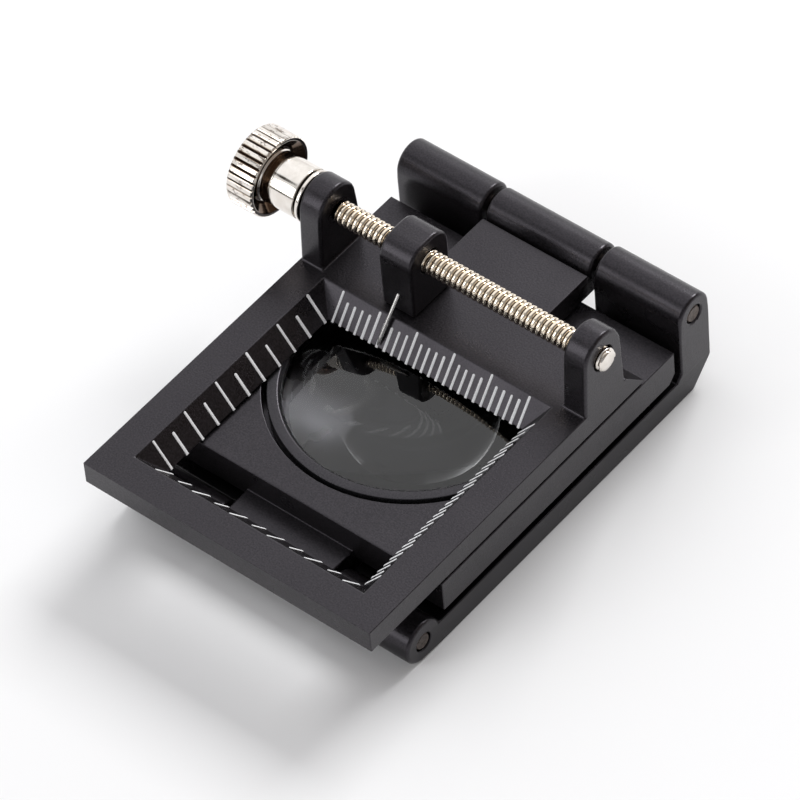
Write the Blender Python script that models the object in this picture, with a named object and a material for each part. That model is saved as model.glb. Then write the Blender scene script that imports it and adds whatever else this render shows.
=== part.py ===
"""Folding linen tester with a screw-driven needle pointer, folded flat.

Three plates of one width lie on each other. The arm is at the bottom, and the part rests on its
outer face. The lens plate is hinged to the arm's front edge, and the base frame, with its square
window, to the arm's tall back leg. The lead screw runs between two posts on the base frame and
drives a carriage, whose needle points at the scale on the window's back bevel.

Origin: on the arm's outer face, straight below the centre of the window. +X runs along the hinges
and away from the knob, +Y towards the back hinge, +Z up. Units are metres.
"""

import math

import bmesh
import bpy
from mathutils import Matrix, Vector

MM = 0.001
GAP = 0.3 * MM

# Driving dimensions.
WIDTH = 38.3 * MM
ARM_THICKNESS = 3.2 * MM
LENS_PLATE_UNDERSIDE = 4.3 * MM
LENS_PLATE_TOP = 8.45 * MM
BASE_UNDERSIDE = 8.8 * MM
BASE_TOP = 11.8 * MM

BASE_FRONT_Y = -19.1 * MM
BASE_BACK_Y = 22.9 * MM
WINDOW_INNER = 26.0 * MM
WINDOW_OUTER = 30.7 * MM

BACK_PIN_Y = 34.5 * MM
BACK_PIN_Z = 11.3 * MM
BACK_KNUCKLE_R = 2.5 * MM
FRONT_PIN_Y = -11.3 * MM
FRONT_PIN_Z = 2.65 * MM
FRONT_KNUCKLE_R = 2.65 * MM
PIN_R = 1.0 * MM
PIN_HOLE_R = 1.15 * MM
MIDDLE_KNUCKLE_HALF = 7.1 * MM
NOTCH_HALF = 7.6 * MM
LEG_CHAMFER = 3.0 * MM
LEG_INNER_CHAMFER = 0.8 * MM
TONGUE_KNUCKLE_R = 2.35 * MM
TONGUE_GROOVE_Y = 31.9 * MM
TONGUE_GROOVE_Z = 11.0 * MM
NOTCH_MARGIN = 0.45 * MM
FRONT_NOTCH_MARGIN = 1.8 * MM
PIN_SHORT = 0.1 * MM

LENS_PLATE_FRONT_Y = -7.8 * MM
LENS_PLATE_BACK_Y = 30.9 * MM
LENS_PLATE_CHAMFER = 1.0 * MM
LENS_KNUCKLE_R = 2.6 * MM
LENS_KNUCKLE_ROOT_Y = -7.3 * MM
LENS_KNUCKLE_ROOT_Z = 3.0 * MM
LENS_Y = 11.7 * MM
LENS_R = 15.0 * MM
LENS_SURFACE_R = 60.0 * MM
LENS_EDGE = 0.8 * MM
APERTURE_R = 14.2 * MM
GROOVE_R = 16.3 * MM
LENS_LIP = 0.8 * MM
LENS_LIFT = 0.55 * MM
RING_OUTER_R = 15.75 * MM
RING_HEIGHT = 1.5 * MM
RING_RIM = 0.2 * MM

POST_THICKNESS = 3.0 * MM
POST_FRONT_Y = 16.1 * MM
POST_BACK_Y = 22.8 * MM
POST_ROUND_R = 3.0 * MM
POST_ROUND_Z = BASE_TOP + 6.7 * MM
SCREW_Y = 19.5 * MM
SCREW_Z = BASE_TOP + 6.35 * MM
JOURNAL_R = 0.8 * MM
THREAD_R = 1.35 * MM
THREAD_ROOT_R = 1.05 * MM
THREAD_PITCH = 0.7 * MM
THREAD_CLEARANCE = 0.2 * MM
NUT_CLEARANCE = 0.15 * MM
JOURNAL_IN_KNOB = 1.2 * MM
SCREW_END_PROUD = 0.8 * MM

WASHER_R = 3.05 * MM
WASHER_THICKNESS = 0.45 * MM
WASHER_RIM = 0.12 * MM
SLEEVE_R = 3.0 * MM
SLEEVE_LENGTH = 4.85 * MM
SLEEVE_LIP = 0.12 * MM
SLEEVE_LIP_LENGTH = 0.35 * MM
KNOB_R = 4.75 * MM
KNOB_THICKNESS = 3.5 * MM
KNOB_FACE_X = -24.2 * MM
KNOB_RIM = 0.15 * MM
KNOB_DISH_DEPTH = 1.0 * MM
KNOB_DISH_FLOOR_R = 3.3 * MM
KNOB_CHAMFER = 0.15 * MM
KNURL_TEETH = 36
KNURL_DEPTH = 0.33 * MM

CARRIAGE_X = -5.95 * MM
CARRIAGE_WIDTH = 4.3 * MM
CARRIAGE_DEPTH = 6.4 * MM
CARRIAGE_TOP = BASE_TOP + 9.4 * MM
CARRIAGE_SHOULDER_R = 2.4 * MM
NEEDLE_R = 0.22 * MM
NEEDLE_HOLE_R = 0.38 * MM
NEEDLE_TIP = Vector((-6.3, 12.95, 9.25)) * MM
NEEDLE_ENTRY = Vector((-5.85, 16.3, 14.1)) * MM
NEEDLE_GRIP = 1.6 * MM
NEEDLE_TAPER = 0.8 * MM

# Derived places.
SIDE_X = WIDTH / 2
POST_INNER_X = SIDE_X - POST_THICKNESS
BASE_THICKNESS = BASE_TOP - BASE_UNDERSIDE
PAST = 1.0 * MM


def clear_scene():
    for obj in list(bpy.data.objects):
        bpy.data.objects.remove(obj, do_unlink=True)


def paint(obj, name, colour, roughness, metallic):
    """Gives the object its own Principled material."""
    material = bpy.data.materials.new(name)
    material.use_nodes = True
    shader = material.node_tree.nodes["Principled BSDF"]
    shader.inputs["Base Color"].default_value = (*colour, 1.0)
    shader.inputs["Roughness"].default_value = roughness
    shader.inputs["Metallic"].default_value = metallic
    obj.data.materials.clear()
    obj.data.materials.append(material)
    return obj


def black_paint(obj):
    return paint(obj, obj.name + "_black", (0.018, 0.018, 0.02), 0.42, 0.0)


def nickel(obj):
    return paint(obj, obj.name + "_nickel", (0.78, 0.74, 0.69), 0.2, 1.0)


def steel(obj):
    return paint(obj, obj.name + "_steel", (0.36, 0.3, 0.27), 0.45, 1.0)


def link(name, mesh_data, place=(0.0, 0.0, 0.0)):
    """Closes the bmesh into an object whose origin is at place, in world coordinates."""
    bmesh.ops.recalc_face_normals(mesh_data, faces=mesh_data.faces)
    bmesh.ops.translate(mesh_data, verts=mesh_data.verts, vec=-Vector(place))
    mesh = bpy.data.meshes.new(name)
    mesh_data.to_mesh(mesh)
    mesh_data.free()
    obj = bpy.data.objects.new(name, mesh)
    obj.location = place
    bpy.context.scene.collection.objects.link(obj)
    return obj


def smooth(obj, degrees=35):
    obj.data.shade_smooth()
    obj.data.set_sharp_from_angle(angle=math.radians(degrees))
    return obj


def arc(centre, radius, start, end, steps):
    """Points of an arc from start to end degrees, both ends included."""
    angles = [math.radians(start + (end - start) * i / steps) for i in range(steps + 1)]
    return [(centre[0] + radius * math.cos(a), centre[1] + radius * math.sin(a)) for a in angles]


def side_profile(name, outline, low_x, high_x, place=(0.0, 0.0, 0.0)):
    """A closed (y, z) outline extruded along X."""
    mesh = bmesh.new()
    face = mesh.faces.new([mesh.verts.new((low_x, y, z)) for y, z in outline])
    swept = bmesh.ops.extrude_face_region(mesh, geom=[face])["geom"]
    moved = [item for item in swept if isinstance(item, bmesh.types.BMVert)]
    bmesh.ops.translate(mesh, verts=moved, vec=(high_x - low_x, 0.0, 0.0))
    return link(name, mesh, place)


def box(name, low, high):
    outline = [(low[1], low[2]), (high[1], low[2]), (high[1], high[2]), (low[1], high[2])]
    return side_profile(name, outline, low[0], high[0])


def turned(name, profile, axis, place, segments):
    """A (radius, height) profile turned about the local Z axis, which is then laid along axis."""
    mesh = bmesh.new()
    rings = []
    for radius, height in profile:
        if radius == 0.0:
            rings.append([mesh.verts.new((0.0, 0.0, height))])
            continue
        turns = [2 * math.pi * i / segments for i in range(segments)]
        points = [(radius * math.cos(turn), radius * math.sin(turn), height) for turn in turns]
        rings.append([mesh.verts.new(point) for point in points])
    pairs = list(zip(rings, rings[1:]))
    if len(rings[0]) > 1 and len(rings[-1]) > 1:
        pairs.append((rings[-1], rings[0]))
    for low, high in pairs:
        for i in range(segments):
            j = (i + 1) % segments
            corners = [low[i % len(low)], low[j % len(low)]]
            corners += [high[j % len(high)], high[i % len(high)]]
            mesh.faces.new(list(dict.fromkeys(corners)))
    turn = Vector((0.0, 0.0, 1.0)).rotation_difference(Vector(axis)).to_matrix().to_4x4()
    bmesh.ops.transform(mesh, matrix=Matrix.Translation(place) @ turn, verts=mesh.verts)
    return link(name, mesh, place)


def rod_x(name, radius, low_x, high_x, y, z, segments=24):
    profile = [(0.0, 0.0), (radius, 0.0), (radius, high_x - low_x), (0.0, high_x - low_x)]
    return turned(name, profile, (1.0, 0.0, 0.0), (low_x, y, z), segments)


def combine(obj, other, operation):
    """Adds a Boolean modifier, and turns the other object into a hidden helper."""
    modifier = obj.modifiers.new(operation.title() + "_" + other.name, "BOOLEAN")
    modifier.operation = operation
    modifier.solver = "EXACT"
    modifier.object = other
    other.hide_render = True
    other.display_type = "WIRE"


def base_frame():
    slab = [
        (BASE_FRONT_Y, BASE_UNDERSIDE),
        (BASE_BACK_Y + BASE_THICKNESS, BASE_UNDERSIDE),
        (BASE_BACK_Y, BASE_TOP),
        (BASE_FRONT_Y, BASE_TOP),
    ]
    frame = side_profile("base_frame", slab, -SIDE_X, SIDE_X, (0.0, BACK_PIN_Y, BACK_PIN_Z))

    post = [(POST_FRONT_Y, BASE_TOP - PAST)]
    post += [(POST_BACK_Y, BASE_TOP - PAST), (POST_BACK_Y, BASE_TOP)]
    post += arc((SCREW_Y, POST_ROUND_Z), POST_ROUND_R, 0, 180, 14)
    post += [(POST_FRONT_Y, BASE_TOP)]
    for side, low_x in (("left", -SIDE_X), ("right", POST_INNER_X)):
        combine(frame, side_profile("post_" + side, post, low_x, low_x + POST_THICKNESS), "UNION")

    # A groove runs between the tongue's flat top and the knuckle.
    drop = BACK_PIN_Z - TONGUE_GROOVE_Z
    groove_angle = 180 + math.degrees(math.asin(drop / TONGUE_KNUCKLE_R))
    tongue = [(BASE_BACK_Y - PAST, BASE_UNDERSIDE), (BACK_PIN_Y, BASE_UNDERSIDE)]
    tongue += arc((BACK_PIN_Y, BACK_PIN_Z), TONGUE_KNUCKLE_R, -90, groove_angle, 26)
    tongue += [(TONGUE_GROOVE_Y, TONGUE_GROOVE_Z), (TONGUE_GROOVE_Y, BASE_TOP)]
    tongue += [(BASE_BACK_Y - PAST, BASE_TOP)]
    half = MIDDLE_KNUCKLE_HALF
    combine(frame, side_profile("tongue", tongue, -half, half), "UNION")

    combine(frame, window_cutter(), "DIFFERENCE")
    hole = rod_x("base_pin_hole", PIN_HOLE_R, -SIDE_X, SIDE_X, BACK_PIN_Y, BACK_PIN_Z)
    combine(frame, hole, "DIFFERENCE")
    journal_hole = rod_x("journal_hole", JOURNAL_R + GAP, -SIDE_X - PAST, 0.0, SCREW_Y, SCREW_Z)
    combine(frame, journal_hole, "DIFFERENCE")
    end_hole_r = THREAD_R + THREAD_CLEARANCE
    end_hole = rod_x("screw_end_hole", end_hole_r, 0.0, SIDE_X + PAST, SCREW_Y, SCREW_Z)
    combine(frame, end_hole, "DIFFERENCE")
    return black_paint(frame)


def window_cutter():
    """A square frustum whose sides are the four bevels, carried on past both faces."""
    slope = (WINDOW_OUTER - WINDOW_INNER) / 2 / BASE_THICKNESS
    mesh = bmesh.new()
    loops = []
    for z in (BASE_UNDERSIDE - PAST, BASE_TOP + PAST):
        half = WINDOW_INNER / 2 + slope * (z - BASE_UNDERSIDE)
        corners = [(-half, -half), (half, -half), (half, half), (-half, half)]
        loops.append([mesh.verts.new((x, y, z)) for x, y in corners])
    mesh.faces.new(loops[0])
    mesh.faces.new(loops[1])
    for i in range(4):
        j = (i + 1) % 4
        mesh.faces.new([loops[0][i], loops[0][j], loops[1][j], loops[1][i]])
    return link("window_cutter", mesh)


def arm_plate():
    leg_back = BACK_PIN_Y + BACK_KNUCKLE_R
    leg_front = BACK_PIN_Y - BACK_KNUCKLE_R
    top_angle = math.degrees(math.asin((ARM_THICKNESS - FRONT_PIN_Z) / FRONT_KNUCKLE_R))
    outline = arc((FRONT_PIN_Y, FRONT_PIN_Z), FRONT_KNUCKLE_R, 270, top_angle, 24)
    outline += [(leg_front - LEG_INNER_CHAMFER, ARM_THICKNESS)]
    outline += [(leg_front, ARM_THICKNESS + LEG_INNER_CHAMFER)]
    outline += arc((BACK_PIN_Y, BACK_PIN_Z), BACK_KNUCKLE_R, 180, 0, 18)
    outline += [(leg_back, LEG_CHAMFER), (leg_back - LEG_CHAMFER, 0.0)]
    arm = side_profile("arm_plate", outline, -SIDE_X, SIDE_X, (0.0, BACK_PIN_Y, BACK_PIN_Z))

    knuckle_back = FRONT_PIN_Y + FRONT_KNUCKLE_R + FRONT_NOTCH_MARGIN
    front_notch = box(
        "front_notch",
        (-NOTCH_HALF, FRONT_PIN_Y - FRONT_KNUCKLE_R - PAST, -PAST),
        (NOTCH_HALF, knuckle_back, FRONT_PIN_Z + FRONT_KNUCKLE_R + PAST),
    )
    back_notch = box(
        "back_notch",
        (-NOTCH_HALF, leg_front - NOTCH_MARGIN, -PAST),
        (NOTCH_HALF, leg_back + PAST, BACK_PIN_Z + BACK_KNUCKLE_R + PAST),
    )
    combine(arm, front_notch, "DIFFERENCE")
    combine(arm, back_notch, "DIFFERENCE")
    reach = SIDE_X + PAST
    front_hole = rod_x("arm_front_hole", PIN_HOLE_R, -reach, reach, FRONT_PIN_Y, FRONT_PIN_Z)
    back_hole = rod_x("arm_back_hole", PIN_HOLE_R, -reach, reach, BACK_PIN_Y, BACK_PIN_Z)
    combine(arm, front_hole, "DIFFERENCE")
    combine(arm, back_hole, "DIFFERENCE")
    return black_paint(arm)


def lens_plate():
    outline = [
        (LENS_PLATE_FRONT_Y, LENS_PLATE_UNDERSIDE),
        (LENS_PLATE_BACK_Y - LENS_PLATE_CHAMFER, LENS_PLATE_UNDERSIDE),
        (LENS_PLATE_BACK_Y, LENS_PLATE_UNDERSIDE + LENS_PLATE_CHAMFER),
        (LENS_PLATE_BACK_Y, LENS_PLATE_TOP),
        (LENS_PLATE_FRONT_Y, LENS_PLATE_TOP),
    ]
    plate = side_profile("lens_plate", outline, -SIDE_X, SIDE_X, (0.0, FRONT_PIN_Y, FRONT_PIN_Z))

    knuckle = arc((FRONT_PIN_Y, FRONT_PIN_Z), LENS_KNUCKLE_R, 90, 360, 24)
    knuckle += [(LENS_KNUCKLE_ROOT_Y, LENS_KNUCKLE_ROOT_Z)]
    knuckle += [(LENS_KNUCKLE_ROOT_Y, FRONT_PIN_Z + LENS_KNUCKLE_R)]
    half = MIDDLE_KNUCKLE_HALF
    combine(plate, side_profile("lens_knuckle", knuckle, -half, half), "UNION")
    hole = rod_x("lens_pin_hole", PIN_HOLE_R, -SIDE_X, SIDE_X, FRONT_PIN_Y, FRONT_PIN_Z)
    combine(plate, hole, "DIFFERENCE")

    ring_seat = LENS_PLATE_TOP - RING_HEIGHT - GAP
    lens_seat = LENS_PLATE_UNDERSIDE + LENS_LIP
    bore = [(0.0, LENS_PLATE_UNDERSIDE - PAST), (APERTURE_R, LENS_PLATE_UNDERSIDE - PAST)]
    bore += [(APERTURE_R, lens_seat), (LENS_R + GAP, lens_seat), (LENS_R + GAP, ring_seat)]
    bore += [(GROOVE_R, ring_seat), (GROOVE_R, LENS_PLATE_TOP + PAST), (0.0, LENS_PLATE_TOP + PAST)]
    combine(plate, turned("lens_bore", bore, (0.0, 0.0, 1.0), (0.0, LENS_Y, 0.0), 64), "DIFFERENCE")
    return black_paint(plate)


def lens():
    """Equal convex faces, resting a gap above the plate's lip and a gap below the ring."""
    rings = 5
    sag = LENS_SURFACE_R - math.sqrt(LENS_SURFACE_R**2 - LENS_R**2)
    half = LENS_EDGE / 2
    upper = []
    for i in range(rings + 1):
        radius = LENS_R * (1 - i / rings)
        dome = math.sqrt(LENS_SURFACE_R**2 - radius**2) - LENS_SURFACE_R + sag
        upper.append((radius, half + dome))
    lower = [(radius, -height) for radius, height in reversed(upper)]
    middle = LENS_PLATE_UNDERSIDE + LENS_LIP + half + LENS_LIFT
    glass = turned("lens", lower + upper, (0.0, 0.0, 1.0), (0.0, LENS_Y, middle), 48)
    return paint(smooth(glass), "lens_glass", (0.85, 0.9, 0.93), 0.03, 0.0)


def lens_retaining_ring():
    top = LENS_PLATE_TOP
    bottom = top - RING_HEIGHT
    profile = [(APERTURE_R + RING_RIM, bottom), (RING_OUTER_R, bottom), (RING_OUTER_R, top)]
    profile += [(APERTURE_R + 2 * RING_RIM, top), (APERTURE_R, top - 2 * RING_RIM)]
    profile += [(APERTURE_R, bottom + RING_RIM)]
    ring = turned("lens_retaining_ring", profile, (0.0, 0.0, 1.0), (0.0, LENS_Y, 0.0), 64)
    return black_paint(smooth(ring))


def hinge_pin(name, y, z):
    reach = SIDE_X - PIN_SHORT
    return steel(smooth(rod_x(name, PIN_R, -reach, reach, y, z)))


def lead_screw():
    """A plain journal in the left post, a shoulder against it, then a right-hand thread."""
    per_turn = 8
    start = -POST_INNER_X + GAP
    end = SIDE_X + SCREW_END_PROUD
    mesh = bmesh.new()
    roots = []
    crests = []
    for step in range(int((end - start) / THREAD_PITCH - 1) * per_turn + 1):
        angle = 2 * math.pi * step / per_turn
        x = start + THREAD_PITCH * step / per_turn
        across = Vector((0.0, math.cos(angle), math.sin(angle)))
        roots.append(mesh.verts.new(Vector((x, 0.0, 0.0)) + across * THREAD_ROOT_R))
        crest_x = x + THREAD_PITCH / 2
        crests.append(mesh.verts.new(Vector((crest_x, 0.0, 0.0)) + across * THREAD_R))
    last = len(roots) - 1
    for i in range(last):
        mesh.faces.new([roots[i], crests[i], crests[i + 1], roots[i + 1]])
        if i + per_turn < last:
            j = i + per_turn
            mesh.faces.new([crests[i], roots[j], roots[j + 1], crests[i + 1]])

    # A fan closes each open helical rim, and the journal and the end plug cover the fans.
    first_rim = roots[: per_turn + 1] + crests[:1]
    last_rim = crests[last - per_turn :] + roots[last:]
    for rim, hub_x in ((first_rim, start), (last_rim, end - THREAD_PITCH)):
        hub = mesh.verts.new((hub_x, 0.0, 0.0))
        for i, vert in enumerate(rim):
            mesh.faces.new([vert, rim[(i + 1) % len(rim)], hub])
    bmesh.ops.translate(mesh, verts=mesh.verts, vec=(0.0, SCREW_Y, SCREW_Z))
    screw = link("lead_screw", mesh, (0.0, SCREW_Y, SCREW_Z))

    low_x = KNOB_FACE_X - KNOB_DISH_DEPTH - JOURNAL_IN_KNOB
    journal = rod_x("journal", JOURNAL_R, low_x, start + THREAD_PITCH, SCREW_Y, SCREW_Z, 16)
    combine(screw, journal, "UNION")
    chamfer = THREAD_R - THREAD_ROOT_R
    middle_r = (THREAD_R + THREAD_ROOT_R) / 2
    plug = [(0.0, 0.0), (middle_r, 0.0), (middle_r, 2 * THREAD_PITCH - chamfer)]
    plug += [(middle_r - chamfer, 2 * THREAD_PITCH), (0.0, 2 * THREAD_PITCH)]
    place = (end - 2 * THREAD_PITCH, SCREW_Y, SCREW_Z)
    combine(screw, turned("screw_end", plug, (1.0, 0.0, 0.0), place, 16), "UNION")
    return nickel(screw)


def knob_parts():
    """Thrust washer, sleeve and knurled head, from the left post outwards."""
    bore = JOURNAL_R + GAP / 2
    washer_x = -SIDE_X - GAP / 2 - WASHER_THICKNESS
    washer = [(bore, 0.0), (WASHER_R - WASHER_RIM, 0.0), (WASHER_R, WASHER_RIM)]
    washer += [(WASHER_R, WASHER_THICKNESS - WASHER_RIM)]
    washer += [(WASHER_R - WASHER_RIM, WASHER_THICKNESS), (bore, WASHER_THICKNESS)]
    place = (washer_x, SCREW_Y, SCREW_Z)
    nickel(smooth(turned("thrust_washer", washer, (1.0, 0.0, 0.0), place, 32)))

    # The sleeve stands in the head's dish, on a small lip.
    lip_r = SLEEVE_R + SLEEVE_LIP
    sleeve = [(bore, 0.0), (lip_r, 0.0), (lip_r, SLEEVE_LIP_LENGTH)]
    sleeve += [(SLEEVE_R, SLEEVE_LIP_LENGTH + SLEEVE_LIP), (SLEEVE_R, SLEEVE_LENGTH)]
    sleeve += [(bore, SLEEVE_LENGTH)]
    place = (washer_x - GAP - SLEEVE_LENGTH, SCREW_Y, SCREW_Z)
    nickel(smooth(turned("knob_sleeve", sleeve, (1.0, 0.0, 0.0), place, 32)))

    nickel(knurled_head(KNOB_FACE_X - KNOB_THICKNESS))


def knurled_head(low_x):
    """A straight-knurled disc with chamfered rims, a conical dish and a blind bore."""
    mesh = bmesh.new()
    levels = [(0.0, KNOB_CHAMFER), (KNOB_CHAMFER, 0.0)]
    levels += [(KNOB_THICKNESS - height, inset) for height, inset in reversed(levels)]
    loops = []
    for height, inset in levels:
        loop = []
        for i in range(4 * KNURL_TEETH):
            angle = 2 * math.pi * i / (4 * KNURL_TEETH)
            depth = KNURL_DEPTH if i % 4 >= 2 else 0.0
            radius = KNOB_R - max(depth, inset)
            place = (low_x + height, radius * math.cos(angle), radius * math.sin(angle))
            loop.append(mesh.verts.new(place))
        loops.append(loop)
    mesh.faces.new(loops[0])
    mesh.faces.new(loops[-1])
    for low, high in zip(loops, loops[1:]):
        for i in range(len(low)):
            j = (i + 1) % len(low)
            mesh.faces.new([low[i], low[j], high[j], high[i]])
    bmesh.ops.translate(mesh, verts=mesh.verts, vec=(0.0, SCREW_Y, SCREW_Z))
    head = link("knob_head", mesh, (low_x, SCREW_Y, SCREW_Z))

    rim_r = KNOB_R - KNURL_DEPTH - KNOB_RIM
    dish = [(0.0, 0.0), (KNOB_DISH_FLOOR_R, 0.0), (rim_r, KNOB_DISH_DEPTH)]
    dish += [(rim_r, KNOB_DISH_DEPTH + PAST), (0.0, KNOB_DISH_DEPTH + PAST)]
    floor_x = KNOB_FACE_X - KNOB_DISH_DEPTH
    place = (floor_x, SCREW_Y, SCREW_Z)
    combine(head, turned("knob_dish", dish, (1.0, 0.0, 0.0), place, 40), "DIFFERENCE")
    bore_r = JOURNAL_R + GAP / 2
    bore_x = floor_x - JOURNAL_IN_KNOB - GAP
    bore = rod_x("knob_bore", bore_r, bore_x, KNOB_FACE_X, SCREW_Y, SCREW_Z)
    combine(head, bore, "DIFFERENCE")
    return head


def carriage():
    half = CARRIAGE_WIDTH / 2
    foot = BASE_TOP + GAP
    front = SCREW_Y - CARRIAGE_DEPTH / 2
    back = SCREW_Y + CARRIAGE_DEPTH / 2
    shoulder = CARRIAGE_SHOULDER_R
    outline = [(front, foot), (back, foot)]
    outline += arc((back - shoulder, CARRIAGE_TOP - shoulder), shoulder, 0, 90, 9)
    outline += arc((front + shoulder, CARRIAGE_TOP - shoulder), shoulder, 90, 180, 9)
    place = (CARRIAGE_X, SCREW_Y, SCREW_Z)
    block = side_profile("carriage", outline, CARRIAGE_X - half, CARRIAGE_X + half, place)
    bore_r = THREAD_R + NUT_CLEARANCE
    reach = CARRIAGE_WIDTH
    bore = rod_x("nut_bore", bore_r, CARRIAGE_X - reach, CARRIAGE_X + reach, SCREW_Y, SCREW_Z)
    combine(block, bore, "DIFFERENCE")

    along = (NEEDLE_ENTRY - NEEDLE_TIP).normalized()
    depth = NEEDLE_GRIP + GAP
    hole = [(0.0, -PAST), (NEEDLE_HOLE_R, -PAST), (NEEDLE_HOLE_R, depth), (0.0, depth)]
    combine(block, turned("needle_hole", hole, along, NEEDLE_ENTRY, 12), "DIFFERENCE")
    return black_paint(block)


def needle():
    along = NEEDLE_ENTRY - NEEDLE_TIP
    length = along.length + NEEDLE_GRIP
    profile = [(0.0, 0.0), (NEEDLE_R / 2, 0.0), (NEEDLE_R, NEEDLE_TAPER)]
    profile += [(NEEDLE_R, length), (0.0, length)]
    pin = turned("needle", profile, along.normalized(), NEEDLE_TIP, 12)
    return paint(smooth(pin), "needle_steel", (0.62, 0.6, 0.58), 0.3, 1.0)


def main():
    clear_scene()
    base_frame()
    arm_plate()
    lens_plate()
    lens()
    lens_retaining_ring()
    hinge_pin("base_hinge_pin", BACK_PIN_Y, BACK_PIN_Z)
    hinge_pin("lens_hinge_pin", FRONT_PIN_Y, FRONT_PIN_Z)
    lead_screw()
    knob_parts()
    carriage()
    needle()


main()
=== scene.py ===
"""Looks of the folding linen tester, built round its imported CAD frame.

The black plates and the carriage keep their CAD shapes and get rounded edges. The turned and
threaded pieces are made again with finer surfaces, and the painted scale lines are added.
Metres throughout, in the CAD frame: +X along the hinges away from the knob, +Y to the back
hinge, +Z up.
"""

import math
import random

import bmesh
import bpy
from mathutils import Matrix, Vector


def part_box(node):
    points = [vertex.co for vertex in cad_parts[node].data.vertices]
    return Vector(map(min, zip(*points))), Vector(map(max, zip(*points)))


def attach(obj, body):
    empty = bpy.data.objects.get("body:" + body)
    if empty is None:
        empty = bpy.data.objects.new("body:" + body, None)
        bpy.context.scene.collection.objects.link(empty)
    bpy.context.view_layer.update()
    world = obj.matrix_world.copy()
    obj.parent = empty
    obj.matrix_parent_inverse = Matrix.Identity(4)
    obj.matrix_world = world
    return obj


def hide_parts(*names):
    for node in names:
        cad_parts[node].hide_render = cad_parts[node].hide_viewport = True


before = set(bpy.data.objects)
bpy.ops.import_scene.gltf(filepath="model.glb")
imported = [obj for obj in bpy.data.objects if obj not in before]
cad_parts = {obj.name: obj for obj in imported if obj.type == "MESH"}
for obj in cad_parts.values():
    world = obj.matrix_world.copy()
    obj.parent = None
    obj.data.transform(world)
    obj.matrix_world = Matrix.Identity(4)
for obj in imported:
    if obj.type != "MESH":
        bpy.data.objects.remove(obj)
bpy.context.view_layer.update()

MM = 0.001
RANDOM_SEED = 7

# Sizes shared with the CAD model, apart from the thread's root, which is 0.02 mm finer here.
BASE_UNDERSIDE = 8.8 * MM
BASE_TOP = 11.8 * MM
WINDOW_INNER_HALF = 13.0 * MM
WINDOW_OUTER_HALF = 15.35 * MM
SCREW_Y = 19.5 * MM
SCREW_Z = 18.15 * MM
THREAD_R = 1.35 * MM
THREAD_ROOT_R = 1.03 * MM
THREAD_PITCH = 0.7 * MM
JOURNAL_R = 0.8 * MM
SIDE_X = 19.15 * MM
POST_INNER_X = 16.15 * MM
POST_BACK_Y = 22.8 * MM
KNOB_R = 4.75 * MM
KNURL_TEETH = 36
KNURL_DEPTH = 0.33 * MM
BACK_PIN_Y = 34.5 * MM
BACK_PIN_Z = 11.3 * MM
BACK_KNUCKLE_R = 2.5 * MM
TONGUE_KNUCKLE_R = 2.35 * MM
FRONT_PIN_Y = -11.3 * MM
FRONT_PIN_Z = 2.65 * MM
FRONT_KNUCKLE_R = 2.65 * MM
LENS_Y = 11.7 * MM
LENS_R = 15.0 * MM
LENS_SURFACE_R = 60.0 * MM
LENS_EDGE = 0.8 * MM
APERTURE_R = 14.2 * MM
PIN_R = 1.0 * MM
NEEDLE_R = 0.22 * MM
NEEDLE_TIP = Vector((-6.3, 12.95, 9.25)) * MM
NEEDLE_ENTRY = Vector((-5.85, 16.3, 14.1)) * MM
NEEDLE_GRIP = 1.6 * MM

# Scales on the window's bevels.
SCALE_HALF = 12.5 * MM
TICK_WIDTH = 0.32 * MM
TICK_PROUD = 0.045 * MM
TICK_START = -0.03 * MM
TICK_LONG = 3.72 * MM
TICK_SHORT = 2.85 * MM

# How the lines vary: spans of length in millimetres, of width as a share, and of slope.
TICK_LENGTH_SPAN = (-0.06, 0.06)
TICK_WIDTH_SPAN = (0.85, 1.1)
TICK_LEAN_SPAN = (-0.006, 0.006)
TICK_END_STEPS = 8

# Widths of the rounds along the edges.
TINY_ROUND = 0.05 * MM
FINE_ROUND = 0.13 * MM
FOOT_ROUND = 0.22 * MM
WIDE_ROUND = 0.4 * MM
LEG_ROUND = 0.6 * MM
FILLET = 0.12 * MM
BEVEL_SEGMENTS = 4

# Which edges are rounded, which faces are one flat, and which points are one.
EDGE_DEGREES = 30.0
FLAT_DEGREES = 0.6
MERGE_WITHIN = 0.001 * MM
ON_AXIS = 1e-7

# How finely the turned pieces are made.
RING_SEGMENTS = 160
LENS_SEGMENTS = 128
LENS_STEPS = 24
PIN_SEGMENTS = 48
SCREW_SEGMENTS = 40
SCREW_STEPS_A_TURN = 12
COLLAR_SEGMENTS = 96
SEGMENTS_A_TOOTH = 12
NEEDLE_SEGMENTS = 24

# How the rounding tells one edge from another.
NEAR = 0.1 * MM
ON_CIRCLE_WITHIN = 0.12 * MM
SCREW_HOLES_WITHIN = 2.2 * MM
POST_FOOT_HALF_Y = 3.5 * MM
OUTER_EDGES_X = 19.0 * MM
CROSS_EDGES_MIDDLE_X = 15.0 * MM
LEG_FOOT_Z = 3.5 * MM
NEEDLE_HOLE_WITHIN = 0.8 * MM

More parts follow.
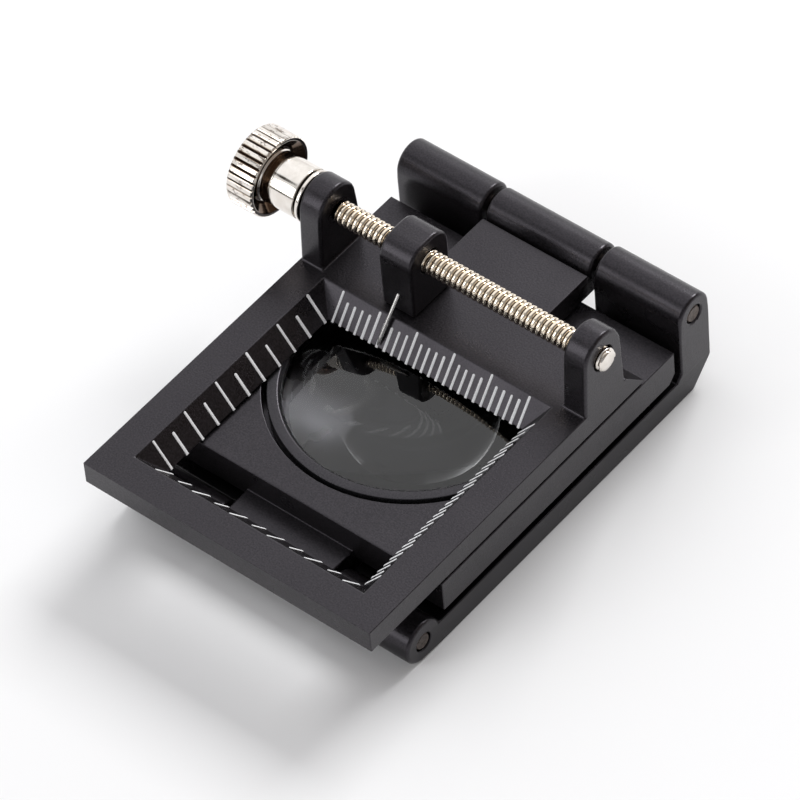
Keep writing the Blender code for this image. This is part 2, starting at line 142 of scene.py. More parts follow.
# Masks of the materials, in millimetres: each pair is where the mask is 0 and where it is 1.
# Radii are from the screw's axis.
GRAIN_ABOVE_Z = (3.3, 3.5)
THREAD_WITHIN_R = (1.55, 1.5)
THREAD_FROM_X = (-17.1, -17.0)
THREAD_TO_X = (SIDE_X / MM + 0.1, SIDE_X / MM)
# The roots, the dish and the grooves below take painted shade; the rim takes the dark specks.
ROOT_WITHIN_R = ((THREAD_ROOT_R + 0.2 * MM) / MM, (THREAD_ROOT_R + 0.04 * MM) / MM)
DISH_FROM_R = (3.2, 3.25)
DISH_WITHIN_R = (4.34, 4.28)
DISH_FROM_X = (-26.0, -25.9)
RIM_FROM_R = (4.34, 4.4)
RIM_FROM_X = (-27.65, -27.55)
RIM_TO_X = (-24.25, -24.35)
GROOVE_WITHIN_R = (4.66, 4.54)

# The dark specks on the knurl: noise levels where they start and are full, and their strength.
SPECK_LEVELS = (0.56, 0.62)
SPECK_STRENGTH = 0.7
THREAD_TINT = (0.9, 0.8, 0.66)

# The share of the half pitch at which the thread's flank reaches its full height.
CREST_FROM = 0.75

# The colour sockets of a Mix node.
MIX_FIRST = 6
MIX_SECOND = 7
MIX_RESULT = 2

# The camera.
CAMERA_PLACE = Vector((0.3022, -0.3116, 0.5111))
CAMERA_RIGHT = Vector((0.7739, 0.6302, -0.0634))
CAMERA_UP = Vector((-0.4435, 0.6106, 0.6561))
CAMERA_LENS_MM = 288.6
CAMERA_SENSOR_MM = 36.0
CAMERA_CLIP = (0.01, 20.0)

# The surroundings: a direction, the cosines where the patch starts and is full, and its radiance.
WORLD_PLAIN = (0.72, 0.72, 0.73)
WORLD_PATCHES = (
    ((-0.9, 0.1, 0.4), 0.2, 0.7, (0.9, 0.9, 0.91)),
    ((-0.45, 0.47, 0.76), 0.4, 0.95, (1.14, 1.14, 1.15)),
    ((0.8, -0.5, 0.3), 0.1, 0.6, (0.34, 0.34, 0.35)),
    ((0.86, 0.45, 0.2), 0.55, 0.92, (0.24, 0.2, 0.17)),
    ((-0.45, -0.43, 0.78), 0.993, 0.998, (0.02, 0.015, 0.01)),
    ((-0.45, -0.89, 0.08), 0.993, 0.998, (0.02, 0.015, 0.01)),
)
# The area lights: a name, the direction they stand in, distance, width, height and radiance.
SOFTBOXES = (
    ("back_softbox", (-0.05, 0.76, 0.64), 0.95, 0.48, 0.36, 11.0),
    ("front_softbox", (-0.43, -0.80, 0.42), 0.8, 0.2, 0.5, 2.9),
)
LIGHTS_AIM = Vector((0.0, 0.005, 0.012))
FLOOR_HALF = 3.0


# ---------------------------------------------------------------- materials

def mixed(tree, level, first, second):
    """Blends from first, a colour or a node's output, to the plain colour second."""
    node = tree.nodes.new("ShaderNodeMix")
    node.data_type = "RGBA"
    if isinstance(first, bpy.types.NodeSocket):
        tree.links.new(first, node.inputs[MIX_FIRST])
    else:
        node.inputs[MIX_FIRST].default_value = (*first, 1.0)
    node.inputs[MIX_SECOND].default_value = (*second, 1.0)
    tree.links.new(level, node.inputs["Factor"])
    return node.outputs[MIX_RESULT]


class Nodes:
    """A new material, with short calls for the nodes that this script uses."""

    def __init__(self, name):
        self.material = bpy.data.materials.new(name)
        self.material.use_nodes = True
        self.tree = self.material.node_tree
        self.shader = self.tree.nodes["Principled BSDF"]
        coordinates = self.tree.nodes.new("ShaderNodeTexCoord")
        self.in_mm = self.tree.nodes.new("ShaderNodeMapping")
        self.in_mm.inputs["Scale"].default_value = (1 / MM, 1 / MM, 1 / MM)
        self.join(coordinates.outputs["Object"], self.in_mm.inputs["Vector"])

    def join(self, output, socket):
        self.tree.links.new(output, socket)

    def set(self, socket, value):
        self.shader.inputs[socket].default_value = value

    def noise(self, per_mm, detail=2.0, stretch=(1.0, 1.0, 1.0), roughness=0.5):
        """Noise with about per_mm features in a millimetre, drawn out where stretch is below 1."""
        mapping = self.tree.nodes.new("ShaderNodeMapping")
        mapping.inputs["Scale"].default_value = stretch
        self.join(self.in_mm.outputs["Vector"], mapping.inputs["Vector"])
        node = self.tree.nodes.new("ShaderNodeTexNoise")
        node.inputs["Scale"].default_value = per_mm
        node.inputs["Detail"].default_value = detail
        node.inputs["Roughness"].default_value = roughness
        self.join(mapping.outputs["Vector"], node.inputs["Vector"])
        return node.outputs["Fac"]

    def spread(self, value, low, high, sharp=0.0):
        """Maps a 0 to 1 value onto low to high. sharp cuts off both ends of the input."""
        node = self.tree.nodes.new("ShaderNodeMapRange")
        node.inputs["From Min"].default_value = sharp
        node.inputs["From Max"].default_value = 1.0 - sharp
        node.inputs["To Min"].default_value = low
        node.inputs["To Max"].default_value = high
        self.join(value, node.inputs["Value"])
        return node.outputs["Result"]

    def blend(self, level, first, second):
        return mixed(self.tree, level, first, second)

    def math(self, operation, first, second):
        node = self.tree.nodes.new("ShaderNodeMath")
        node.operation = operation
        self.join(first, node.inputs[0])
        self.join(second, node.inputs[1])
        return node.outputs["Value"]

    def both(self, first, second):
        return self.math("MULTIPLY", first, second)

    def either(self, first, second):
        return self.math("MAXIMUM", first, second)

    def along(self, axis):
        """Millimetres along X, Y or Z."""
        node = self.tree.nodes.new("ShaderNodeSeparateXYZ")
        self.join(self.in_mm.outputs["Vector"], node.inputs["Vector"])
        return node.outputs[axis]

    def from_axis(self, y, z):
        """Distance in millimetres from the line along X through (y, z)."""
        place = self.tree.nodes.new("ShaderNodeVectorMath")
        place.operation = "SUBTRACT"
        place.inputs[1].default_value = (0.0, y, z)
        self.join(self.in_mm.outputs["Vector"], place.inputs[0])
        flat = self.tree.nodes.new("ShaderNodeVectorMath")
        flat.operation = "MULTIPLY"
        flat.inputs[1].default_value = (0.0, 1.0, 1.0)
        self.join(place.outputs["Vector"], flat.inputs[0])
        length = self.tree.nodes.new("ShaderNodeVectorMath")
        length.operation = "LENGTH"
        self.join(flat.outputs["Vector"], length.inputs[0])
        return length.outputs["Value"]

    def ramp(self, value, start, end):
        """Maps start to 0 and end to 1, and holds both ends. start may be above end."""
        node = self.tree.nodes.new("ShaderNodeMapRange")
        node.inputs["From Min"].default_value = start
        node.inputs["From Max"].default_value = end
        self.join(value, node.inputs["Value"])
        return node.outputs["Result"]

    def bump(self, height, micrometres, strength=1.0):
        """Chains one more bump under the shader's normal."""
        node = self.tree.nodes.new("ShaderNodeBump")
        node.inputs["Strength"].default_value = strength
        node.inputs["Distance"].default_value = micrometres * 1e-6
        self.join(height, node.inputs["Height"])
        links = self.shader.inputs["Normal"].links
        if links:
            self.join(links[0].from_socket, node.inputs["Normal"])
        self.join(node.outputs["Normal"], self.shader.inputs["Normal"])

    def colour(self, output):
        self.join(output, self.shader.inputs["Base Color"])

    def rough(self, output):
        self.join(output, self.shader.inputs["Roughness"])


def black_paint(name, dark, light, roughness, grain):
    """Satin black over blasted metal: a fine grain, and slow changes of sheen from handling.

    grain is the bump's height in micrometres. Low down, on the arm's plate, there is none.
    """
    nodes = Nodes(name)
    nodes.set("IOR", 1.47)
    nodes.set("Specular Tint", (0.95, 0.89, 1.0, 1.0))
    slow = nodes.noise(0.16, detail=3.0)
    fine = nodes.both(nodes.noise(5.0), nodes.ramp(nodes.along("Z"), *GRAIN_ABOVE_Z))
    nodes.colour(nodes.blend(nodes.spread(fine, 0.0, 1.0, sharp=0.36), dark, light))
    nodes.rough(nodes.spread(slow, roughness - 0.05, roughness + 0.05, sharp=0.25))
    nodes.bump(fine, grain, strength=0.8)
    return nodes.material


def turned_metal(name, dark, light, shade_and_speck_colour, roughness, lines):
    """Plated metal with fine lathe lines round the screw's axis, and warmer on the thread.

    lines is the bump's height in micrometres. Painted shade, dark brown, lies in the thread's
    roots, on the sloping wall of the knob's dish and in the grooves of the knurl; the same colour
    makes dark specks on the knurl's rim.
    """
    nodes = Nodes(name)
    nodes.set("Metallic", 1.0)
    rings = nodes.noise(9.0, stretch=(1.0, 0.02, 0.02))
    slow = nodes.noise(0.9, detail=3.0)
    clean = nodes.blend(nodes.spread(slow, 0.0, 1.0, sharp=0.25), dark, light)
    radius = nodes.from_axis(SCREW_Y / MM, SCREW_Z / MM)
    along = nodes.along("X")

    on_thread = nodes.both(
        nodes.ramp(radius, *THREAD_WITHIN_R), nodes.ramp(along, *THREAD_FROM_X)
    )
    on_thread = nodes.both(on_thread, nodes.ramp(along, *THREAD_TO_X))
    warm = nodes.blend(on_thread, clean, THREAD_TINT)
    roots = nodes.both(nodes.ramp(radius, *ROOT_WITHIN_R), on_thread)

    dish = nodes.both(nodes.ramp(radius, *DISH_FROM_R), nodes.ramp(radius, *DISH_WITHIN_R))
    dish = nodes.both(dish, nodes.ramp(along, *DISH_FROM_X))

    on_rim = nodes.both(nodes.ramp(radius, *RIM_FROM_R), nodes.ramp(along, *RIM_FROM_X))
    on_rim = nodes.both(on_rim, nodes.ramp(along, *RIM_TO_X))
    grooves = nodes.both(on_rim, nodes.ramp(radius, *GROOVE_WITHIN_R))
    specks = nodes.noise(2.6, detail=3.0, stretch=(0.5, 1.0, 1.0), roughness=0.7)
    specks = nodes.spread(nodes.ramp(specks, *SPECK_LEVELS), 0.0, SPECK_STRENGTH)
    dark_specks = nodes.both(on_rim, specks)

    # Painted shade in the thread's roots, the dish's wall and the knurl's grooves, and the dark
    # specks.
    painted_shade_and_specks = nodes.either(nodes.either(roots, dish), nodes.either(grooves, dark_specks))
    nodes.colour(nodes.blend(painted_shade_and_specks, warm, shade_and_speck_colour))
    nodes.rough(nodes.spread(slow, roughness * 0.7, roughness * 1.3, sharp=0.2))
    nodes.bump(rings, lines, strength=0.5)
    return nodes.material


def drawn_wire(name):
    """Bright wire with fine lines along it."""
    dark, light = (0.66, 0.64, 0.62), (0.86, 0.85, 0.83)
    nodes = Nodes(name)
    nodes.set("Metallic", 1.0)
    slow = nodes.noise(1.5)
    nodes.colour(nodes.blend(slow, dark, light))
    nodes.rough(nodes.spread(slow, 0.18, 0.32))
    nodes.bump(nodes.noise(6.0, stretch=(1.0, 1.0, 0.1)), 1.5, strength=0.5)
    return nodes.material


def cut_pin_metal(name):
    """Dull brownish steel with the rough face of a cut end."""
    dark, light = (0.04, 0.035, 0.032), (0.17, 0.14, 0.125)
    nodes = Nodes(name)
    nodes.set("Metallic", 1.0)
    patches = nodes.noise(2.4, detail=4.0, roughness=0.65)
    nodes.colour(nodes.blend(nodes.spread(patches, 0.0, 1.0, sharp=0.3), dark, light))
    nodes.rough(nodes.spread(patches, 0.32, 0.6))
    nodes.bump(nodes.noise(8.0, detail=3.0), 6.0, strength=0.7)
    return nodes.material


def optical_glass(name):
    """Polished glass with a faint cool tint."""
    cool, clear = (0.93, 0.96, 0.97), (0.97, 0.98, 0.98)
    nodes = Nodes(name)
    nodes.set("IOR", 1.62)
    nodes.set("Transmission Weight", 1.0)
    nodes.colour(nodes.blend(nodes.noise(0.35, detail=3.0), cool, clear))
    nodes.set("Roughness", 0.0)
    return nodes.material


def scale_paint(name):
    """White paint, a little uneven."""
    grey, white = (0.84, 0.85, 0.87), (0.97, 0.97, 0.98)
    nodes = Nodes(name)
    nodes.set("IOR", 1.45)
    patches = nodes.noise(3.0, detail=3.0)
    nodes.colour(nodes.blend(nodes.spread(patches, 0.0, 1.0, sharp=0.3), grey, white))
    nodes.rough(nodes.spread(patches, 0.4, 0.65))
    nodes.bump(nodes.noise(9.0), 8.0, strength=0.6)
    return nodes.material


BLACK = black_paint(
    "satin_black_paint",
    dark=(0.001, 0.001, 0.001),
    light=(0.017, 0.015, 0.017),
    roughness=0.29,
    grain=16.0,
)
RING_BLACK = black_paint(
    "ring_black_paint",
    dark=(0.008, 0.008, 0.009),
    light=(0.02, 0.02, 0.021),
    roughness=0.27,
    grain=4.0,
)
NICKEL = turned_metal(
    "nickel_plate",
    dark=(0.74, 0.69, 0.63),
    light=(0.9, 0.86, 0.81),
    # The dark brown of the painted shade in the hollows, also used for the specks.
    shade_and_speck_colour=(0.11, 0.07, 0.045),
    roughness=0.09,
    lines=14.0,
)
NEEDLE_STEEL = drawn_wire("bright_wire")
PIN_STEEL = cut_pin_metal("cut_pin")
GLASS = optical_glass("lens_glass")
SCALE_WHITE = scale_paint("scale_white")


# ---------------------------------------------------------------- mesh building

def finish_piece(name, mesh_data, material, body, replaced=(), sharp_degrees=30.0):
    """Makes the object, shades it smooth between its sharp edges, and hangs it on its body."""
    bmesh.ops.recalc_face_normals(mesh_data, faces=mesh_data.faces)
    mesh = bpy.data.meshes.new(name)
    mesh_data.to_mesh(mesh)
    mesh_data.free()
    mesh.materials.append(material)
    mesh.shade_smooth()
    mesh.set_sharp_from_angle(angle=math.radians(sharp_degrees))
    piece = bpy.data.objects.new(name, mesh)
    bpy.context.scene.collection.objects.link(piece)
    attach(piece, body)
    if replaced:
        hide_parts(*replaced)
    return piece


def rounded_copy(name, node, body, width_at):
    """The CAD node's own shape, with each sharp edge rounded by width_at(the edge's middle)."""
    mesh_data = bmesh.new()
    mesh_data.from_mesh(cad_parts[node].data)
    bmesh.ops.remove_doubles(mesh_data, verts=mesh_data.verts, dist=MERGE_WITHIN)
    bmesh.ops.dissolve_limit(
        mesh_data,
        angle_limit=math.radians(FLAT_DEGREES),
        use_dissolve_boundaries=False,
        verts=mesh_data.verts,
        edges=mesh_data.edges,
    )
    weights = mesh_data.edges.layers.float.new("bevel_weight_edge")
    for edge in mesh_data.edges:
        if edge.calc_face_angle(0.0) > math.radians(EDGE_DEGREES):
            middle = (edge.verts[0].co + edge.verts[1].co) / 2
            edge[weights] = width_at(middle) / LEG_ROUND
    # The rounds take the place of sharp edges, so none is marked.
    piece = finish_piece(
        name, mesh_data, BLACK, body, (node,), sharp_degrees=180.0
    )
    bevel = piece.modifiers.new("edge_rounds", "BEVEL")
    bevel.width = LEG_ROUND
    bevel.segments = BEVEL_SEGMENTS
    bevel.limit_method = "WEIGHT"
    bevel.use_clamp_overlap = False
    bevel.harden_normals = True
    flats = piece.modifiers.new("even_flats", "WEIGHTED_NORMAL")
    flats.keep_sharp = True
    return piece


def filleted(points, radius, steps=4):
    """The polyline with each inner corner rounded, by at most radius and a third of its sides."""
    out = [Vector(points[0])]
    for before, corner, after in zip(points, points[1:], points[2:]):
        before, corner, after = Vector(before), Vector(corner), Vector(after)
        back = before - corner
        ahead = after - corner
        reach = min(radius, back.length / 3, ahead.length / 3)
        start = corner + back.normalized() * reach
        end = corner + ahead.normalized() * reach
        for i in range(steps + 1):
            t = i / steps
            out.append(start * (1 - t) ** 2 + corner * 2 * t * (1 - t) + end * t**2)
    out.append(Vector(points[-1]))
    return [(point.x, point.y) for point in out]


def turned(profile, segments, place, axis, radius_at=None):
    """A bmesh of the (radius, height) profile turned about axis through place.

    A profile that starts and ends off the axis is closed on itself. radius_at(radius, height,
    angle) can change the radius round the turn.
    """
    mesh_data = bmesh.new()
    rings = []
    for radius, height in profile:
        if radius < ON_AXIS:
            rings.append([mesh_data.verts.new((0.0, 0.0, height))])
            continue
        ring = []
        for i in range(segments):
            angle = 2 * math.pi * i / segments
            here = radius_at(radius, height, angle) if radius_at else radius
            place_on_ring = (here * math.cos(angle), here * math.sin(angle), height)
            ring.append(mesh_data.verts.new(place_on_ring))
        rings.append(ring)
    pairs = list(zip(rings, rings[1:]))
    if len(rings[0]) > 1 and len(rings[-1]) > 1:
        pairs.append((rings[-1], rings[0]))
    for low, high in pairs:
        for i in range(segments):
            j = (i + 1) % segments
            corners = [low[i % len(low)], low[j % len(low)]]
            corners += [high[j % len(high)], high[i % len(high)]]
            # A ring on the axis is one point, which would otherwise be there twice.
            mesh_data.faces.new(list(dict.fromkeys(corners)))
    turn = Vector((0.0, 0.0, 1.0)).rotation_difference(Vector(axis)).to_matrix().to_4x4()
    bmesh.ops.transform(mesh_data, matrix=Matrix.Translation(place) @ turn, verts=mesh_data.verts)
    return mesh_data


# ---------------------------------------------------------------- plates and carriage

def from_x_line(point, y, z):
    """Distance from the line along X through (y, z)."""
    return math.hypot(point.y - y, point.z - z)


def on_circle(point, y, z, radius):
    """Whether the point lies on a cylinder along X through (y, z)."""
    return abs(from_x_line(point, y, z) - radius) < ON_CIRCLE_WITHIN


def at_screw_hole(point):
    return from_x_line(point, SCREW_Y, SCREW_Z) < SCREW_HOLES_WITHIN


def base_round(point):
    on_post = point.z > BASE_TOP + 2 * NEAR and point.y < POST_BACK_Y + 5 * NEAR
    if on_post:
        return FINE_ROUND if at_screw_hole(point) else WIDE_ROUND
    if on_circle(point, BACK_PIN_Y, BACK_PIN_Z, TONGUE_KNUCKLE_R):
        return WIDE_ROUND
    at_top = abs(point.z - BASE_TOP) <= NEAR
    if not at_top or abs(point.y - SCREW_Y) > POST_FOOT_HALF_Y:
        return FINE_ROUND
    if point.y > POST_BACK_Y - NEAR:
        return TINY_ROUND
    return FOOT_ROUND if abs(point.x) < OUTER_EDGES_X else FINE_ROUND


def arm_round(point):
    if on_circle(point, BACK_PIN_Y, BACK_PIN_Z, BACK_KNUCKLE_R):
        return WIDE_ROUND
    if on_circle(point, FRONT_PIN_Y, FRONT_PIN_Z, FRONT_KNUCKLE_R):
        return WIDE_ROUND
    on_leg = point.y > BACK_PIN_Y - 1.0 * MM
    if on_leg and point.z < LEG_FOOT_Z and abs(point.x) < CROSS_EDGES_MIDDLE_X:
        return LEG_ROUND
    return 2 * FINE_ROUND if point.y > BACK_PIN_Y - 3.0 * MM else FINE_ROUND


def lens_plate_round(point):
    if on_circle(point, FRONT_PIN_Y, FRONT_PIN_Z, FRONT_KNUCKLE_R):
        return 2 * FINE_ROUND
    return FINE_ROUND


def carriage_round(point):
    if (point - NEEDLE_ENTRY).length < NEEDLE_HOLE_WITHIN:
        return TINY_ROUND
    if at_screw_hole(point):
        return FINE_ROUND
    return WIDE_ROUND if point.z > BASE_TOP + 5 * NEAR else FINE_ROUND


def plates():
    rounded_copy("base_frame_body", "base_frame", "base", base_round)
    rounded_copy("arm_plate_body", "arm_plate", "arm", arm_round)
    rounded_copy("lens_plate_body", "lens_plate", "lens_carrier", lens_plate_round)
    rounded_copy("carriage_body", "carriage", "pointer", carriage_round)


# ---------------------------------------------------------------- optics

def optics():
    ring_low, ring_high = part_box("lens_retaining_ring")
    bottom, top = ring_low.z, ring_high.z
    outer = ring_high.x
    lip = 0.2 * MM
    profile = [
        (APERTURE_R + lip, bottom + lip / 2),
        (APERTURE_R + lip, bottom),
        (outer, bottom),
        (outer, top),
        (APERTURE_R + 2 * lip, top),
        (APERTURE_R, top - 2 * lip),
        (APERTURE_R, bottom + lip),
        (APERTURE_R + lip, bottom + lip / 2),
    ]
    ring = turned(
        filleted(profile, FILLET)[:-1], RING_SEGMENTS, (0.0, LENS_Y, 0.0), (0.0, 0.0, 1.0)
    )
    finish_piece(
        "lens_ring", ring, RING_BLACK, "lens_carrier", ("lens_retaining_ring",)
    )

    lens_low, lens_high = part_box("lens")
    middle = (lens_low.z + lens_high.z) / 2
    sag = LENS_SURFACE_R - math.sqrt(LENS_SURFACE_R**2 - LENS_R**2)
    upper = []
    for i in range(LENS_STEPS + 1):
        radius = LENS_R * (1 - i / LENS_STEPS)
        height = LENS_EDGE / 2 + math.sqrt(LENS_SURFACE_R**2 - radius**2) - LENS_SURFACE_R + sag
        upper.append((radius, height))
    lower = [(radius, -height) for radius, height in reversed(upper)]
    glass = turned(
        lower + upper, LENS_SEGMENTS, (0.0, LENS_Y, middle), (0.0, 0.0, 1.0)
    )
    finish_piece(
        "lens_glass_piece", glass, GLASS, "lens_carrier", ("lens",)
    )


# ---------------------------------------------------------------- hinge pins

def hinge_pins():
    for node in ("base_hinge_pin", "lens_hinge_pin"):
        low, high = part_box(node)
        middle = (low + high) / 2
        length = high.x - low.x
        chamfer = 0.12 * MM
        dish = 0.05 * MM
        profile = [
            (0.0, dish),
            (0.5 * PIN_R, dish),
            (0.75 * PIN_R, 0.0),
            (PIN_R - chamfer, 0.0),
            (PIN_R, chamfer),
            (PIN_R, length - chamfer),
            (PIN_R - chamfer, length),
            (0.75 * PIN_R, length),
            (0.5 * PIN_R, length - dish),
            (0.0, length - dish),
        ]
        place = (low.x, middle.y, middle.z)
        pin = turned(profile, PIN_SEGMENTS, place, (1.0, 0.0, 0.0))
        finish_piece(
            node + "_rod", pin, PIN_STEEL, "arm", (node,), sharp_degrees=20.0
        )


# ---------------------------------------------------------------- lead screw and knob

def thread_radius(x, angle):
    """Broad rounded crests and narrow roots, right-hand where angle turns about +X."""
    phase = (x / THREAD_PITCH - angle / (2 * math.pi)) % 1.0
    rise = abs(2 * phase - 1)
    height = math.sin(math.pi / 2 * min(1.0, rise / CREST_FROM))
    return THREAD_ROOT_R + (THREAD_R - THREAD_ROOT_R) * height


def lead_screw():
    low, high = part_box("lead_screw")
    thread_start = -POST_INNER_X + 0.3 * MM
    end = high.x
    chamfer = 0.22 * MM
    step = THREAD_PITCH / SCREW_STEPS_A_TURN
    dome = 0.12 * MM
    rim = end - dome
    count = round((end - thread_start) / step)
    profile = [(0.0, low.x), (JOURNAL_R, low.x), (JOURNAL_R, thread_start - 0.01 * MM)]
    for i in range(count + 1):
        profile.append((THREAD_R, thread_start + (rim - thread_start) * i / count))
    profile.append((0.75 * THREAD_ROOT_R, end - 0.6 * dome))
    profile.append((0.4 * THREAD_ROOT_R, end - 0.15 * dome))
    profile.append((0.0, end))

    def radius_at(radius, x, angle):
        """The thread, run out at both ends.

        Open fault: the minus sign makes this thread left-hand, and the CAD's is right-hand.
        """
        if x < thread_start or x > rim:
            return radius
        from_start = THREAD_ROOT_R + 0.05 * MM + (x - thread_start)
        from_end = THREAD_R - chamfer + (rim - x)
        return min(thread_radius(x, -angle), from_start, from_end)

    place = (0.0, SCREW_Y, SCREW_Z)
    screw = turned(profile, SCREW_SEGMENTS, place, (1.0, 0.0, 0.0), radius_at)
    finish_piece(
        "lead_screw_thread",
        screw,
        NICKEL,
        "screw",
        ("lead_screw",),
        sharp_degrees=50.0,
    )


def turned_on_screw(name, node, profile, segments, radius_at=None):
    """A ring round the lead screw: heights in the profile start at the node's left end."""
    low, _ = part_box(node)
    ring = turned(profile, segments, (low.x, SCREW_Y, SCREW_Z), (1.0, 0.0, 0.0), radius_at)
    finish_piece(name, ring, NICKEL, "screw", (node,))


def knob():
    """The washer, the sleeve and the head, from the left post outwards."""
    bore = JOURNAL_R + 0.12 * MM

    low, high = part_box("thrust_washer")
    radius, length = (high.z - low.z) / 2, high.x - low.x
    washer = [(bore, length / 2), (bore, 0.0), (radius, 0.0), (radius, length)]
    washer += [(bore, length), (bore, length / 2)]
    washer = filleted(washer, FILLET)[:-1]
    turned_on_screw("thrust_washer_ring", "thrust_washer", washer, COLLAR_SEGMENTS)

    low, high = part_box("knob_sleeve")
    lip_r, length = (high.z - low.z) / 2, high.x - low.x
    lip = 0.12 * MM
    lip_length = 0.2 * MM
    radius = lip_r - lip
    neck_r = radius - 0.08 * MM
    neck_end = lip_length + 0.45 * MM
    sleeve = [(bore, length / 2), (bore, 0.0), (lip_r, 0.0), (lip_r, lip_length)]
    sleeve += [(neck_r, lip_length + lip), (neck_r, neck_end), (radius, neck_end + lip)]
    sleeve += [(radius, length), (bore, length), (bore, length / 2)]
    sleeve = filleted(sleeve, 0.14 * MM)[:-1]
    turned_on_screw("knob_sleeve_tube", "knob_sleeve", sleeve, COLLAR_SEGMENTS)

    low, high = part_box("knob_head")
    length = high.x - low.x
    chamfer = 0.14 * MM
    dish = 1.0 * MM
    middle = length / 2
    head = [
        (0.0, middle),
        (bore, middle),
        (bore, length - dish),
        (3.3 * MM, length - dish),
        (4.32 * MM, length),
        (KNOB_R - chamfer, length),
        (KNOB_R, length - chamfer),
        (KNOB_R, chamfer),
        (KNOB_R - chamfer, 0.0),
        (1.2 * MM, 0.0),
        (0.9 * MM, 0.12 * MM),
        (0.0, 0.12 * MM),
    ]

    def knurl(radius, height, angle):
        """Straight V grooves with flat crests between them, on the rim and its chamfers."""
        if radius < KNOB_R - 0.99 * chamfer:
            return radius
        phase = (angle * KNURL_TEETH / (2 * math.pi)) % 1.0
        groove = max(0.0, (abs(2 * phase - 1) - 0.5) / 0.5)
        return min(radius, KNOB_R - KNURL_DEPTH * groove)

    rounded_head = filleted(head, 0.1 * MM, 3)
    around = KNURL_TEETH * SEGMENTS_A_TOOTH
    turned_on_screw("knob_head_knurled", "knob_head", rounded_head, around, knurl)


def needle():
    along = NEEDLE_ENTRY - NEEDLE_TIP
    length = along.length + NEEDLE_GRIP
    taper = 1.1 * MM
    profile = [(0.0, 0.0), (0.25 * NEEDLE_R, 0.02 * MM), (0.5 * NEEDLE_R, 0.25 * taper)]
    profile += [(0.85 * NEEDLE_R, 0.65 * taper), (NEEDLE_R, taper)]
    profile += [(NEEDLE_R, length), (0.0, length)]
    pin = turned(profile, NEEDLE_SEGMENTS, NEEDLE_TIP, along.normalized())
    finish_piece(
        "needle_pin",
        pin,
        NEEDLE_STEEL,
        "pointer",
        ("needle",),
        sharp_degrees=50.0,
    )


# ---------------------------------------------------------------- scales

def tick(mesh_data, foot, along, across, out, length, width):
    """One painted line: a flat bar with a round upper end, standing just out of the bevel."""
    half = width / 2
    outline = [(0.0, -half), (0.0, half)]
    for i in range(TICK_END_STEPS + 1):
        angle = math.pi * i / TICK_END_STEPS
        outline.append((length - half + half * math.sin(angle), half * math.cos(angle)))
    loops = []
    for height, scale in ((-2 * TICK_PROUD, 1.0), (0.5 * TICK_PROUD, 1.0), (TICK_PROUD, 0.7)):
        loop = []
        for a, c in outline:
            level = min(a, length - half)
            a = level + (a - level) * scale
            loop.append(mesh_data.verts.new(foot + along * a + across * c * scale + out * height))
        loops.append(loop)
    for low, high in zip(loops, loops[1:]):
        for i in range(len(low)):
            j = (i + 1) % len(low)
            mesh_data.faces.new([low[i], low[j], high[j], high[i]])
    mesh_data.faces.new(loops[-1])
    mesh_data.faces.new(list(reversed(loops[0])))


def scale(name, side, places, draw):
    """Lines up one bevel. side is the unit vector from the window's centre to that bevel."""
    rise = BASE_TOP - BASE_UNDERSIDE
    run = WINDOW_OUTER_HALF - WINDOW_INNER_HALF
    up = Vector((0.0, 0.0, 1.0))
    along = (side * run + up * rise).normalized()
    across = Vector((abs(side.y), abs(side.x), 0.0))
    out = (up * run - side * rise).normalized()
    foot = side * WINDOW_INNER_HALF + up * BASE_UNDERSIDE
    mesh_data = bmesh.new()
    for place, is_long in places:
        length = TICK_LONG if is_long else TICK_SHORT
        length += draw.uniform(*TICK_LENGTH_SPAN) * MM
        width = TICK_WIDTH * draw.uniform(*TICK_WIDTH_SPAN)
        lean = across * draw.uniform(*TICK_LEAN_SPAN)
        tick(
            mesh_data,
            foot + across * place + along * TICK_START,
            (along + lean).normalized(),
            across,
            out,
            length,
            width,
        )
    finish_piece(
        name, mesh_data, SCALE_WHITE, "base", sharp_degrees=40.0
    )


def scales():
    """26 lines 1 mm apart at the back and right, 11 lines 2.5 mm apart at the left and front."""
    draw = random.Random(RANDOM_SEED)
    millimetres = [(-SCALE_HALF + i * MM, i % 5 == 0) for i in range(26)]
    tenths = [(-SCALE_HALF + i * 2.5 * MM, i % 2 == 0) for i in range(11)]
    scale("scale_back_millimetres", Vector((0.0, 1.0, 0.0)), millimetres, draw)
    scale("scale_right_millimetres", Vector((1.0, 0.0, 0.0)), millimetres, draw)
    scale("scale_left_tenths", Vector((-1.0, 0.0, 0.0)), tenths, draw)
    scale("scale_front_tenths", Vector((0.0, -1.0, 0.0)), tenths, draw)


# ---------------------------------------------------------------- stage, light and camera

def floor():
    mesh_data = bmesh.new()
    half = FLOOR_HALF
    corners = [(-half, -half), (half, -half), (half, half), (-half, half)]
    mesh_data.faces.new([mesh_data.verts.new((x, y, 0.0)) for x, y in corners])
    mesh = bpy.data.meshes.new("floor")
    mesh_data.to_mesh(mesh)
    mesh_data.free()
    nodes = Nodes("pale_floor")
    grey, white = (0.87, 0.87, 0.875), (0.89, 0.89, 0.895)
    nodes.colour(nodes.blend(nodes.noise(0.02), grey, white))
    nodes.set("Roughness", 0.9)
    mesh.materials.append(nodes.material)
    plane = bpy.data.objects.new("floor", mesh)
    bpy.context.scene.collection.objects.link(plane)


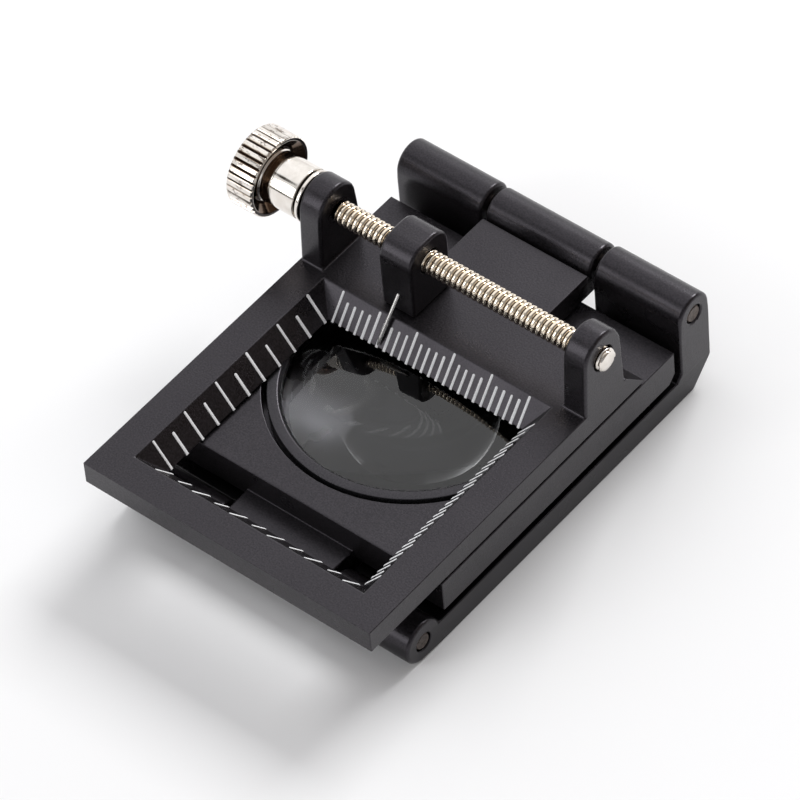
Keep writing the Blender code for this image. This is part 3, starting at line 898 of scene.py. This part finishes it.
def softbox(name, place, aim, width, height, radiance):
    """A rectangular area light, its strength given as the radiance of its face."""
    light = bpy.data.lights.new(name, "AREA")
    light.shape = "RECTANGLE"
    light.size = width
    light.size_y = height
    light.energy = radiance * math.pi * width * height
    lamp = bpy.data.objects.new(name, light)
    lamp.location = place
    lamp.rotation_mode = "QUATERNION"
    lamp.rotation_quaternion = (Vector(aim) - Vector(place)).to_track_quat("-Z", "Y")
    bpy.context.scene.collection.objects.link(lamp)


def toward(tree, direction, start, end):
    """1 where the world's direction is close to the given one, 0 away from it."""
    coordinates = tree.nodes.new("ShaderNodeTexCoord")
    dot = tree.nodes.new("ShaderNodeVectorMath")
    dot.operation = "DOT_PRODUCT"
    dot.inputs[1].default_value = Vector(direction).normalized()
    tree.links.new(coordinates.outputs["Generated"], dot.inputs[0])
    level = tree.nodes.new("ShaderNodeMapRange")
    level.interpolation_type = "SMOOTHSTEP"
    level.inputs["From Min"].default_value = start
    level.inputs["From Max"].default_value = end
    tree.links.new(dot.outputs["Value"], level.inputs["Value"])
    return level.outputs["Result"]


def surroundings():
    """A pale room: brighter at the left, dim at the right, and two small dark spots."""
    world = bpy.data.worlds.new("studio")
    bpy.context.scene.world = world
    world.use_nodes = True
    tree = world.node_tree
    colour = WORLD_PLAIN
    for direction, start, end, target in WORLD_PATCHES:
        colour = mixed(tree, toward(tree, direction, start, end), colour, target)
    tree.links.new(colour, tree.nodes["Background"].inputs["Color"])
    tree.nodes["Background"].inputs["Strength"].default_value = 1.0


def lights():
    surroundings()
    for name, direction, distance, width, height, radiance in SOFTBOXES:
        place = LIGHTS_AIM + Vector(direction).normalized() * distance
        softbox(name, place, LIGHTS_AIM, width, height, radiance)


def camera():
    data = bpy.data.cameras.new("camera")
    data.lens = CAMERA_LENS_MM
    data.sensor_width = CAMERA_SENSOR_MM
    data.clip_start, data.clip_end = CAMERA_CLIP
    view = bpy.data.objects.new("camera", data)
    back = CAMERA_RIGHT.cross(CAMERA_UP)
    turn = Matrix((CAMERA_RIGHT, CAMERA_UP, back)).transposed().to_4x4()
    view.matrix_world = Matrix.Translation(CAMERA_PLACE) @ turn
    bpy.context.scene.collection.objects.link(view)
    bpy.context.scene.camera = view


plates()
optics()
hinge_pins()
lead_screw()
knob()
needle()
scales()
floor()
lights()
camera()
bpy.context.scene.view_settings.view_transform = "Standard"

bpy.context.view_layer.update()
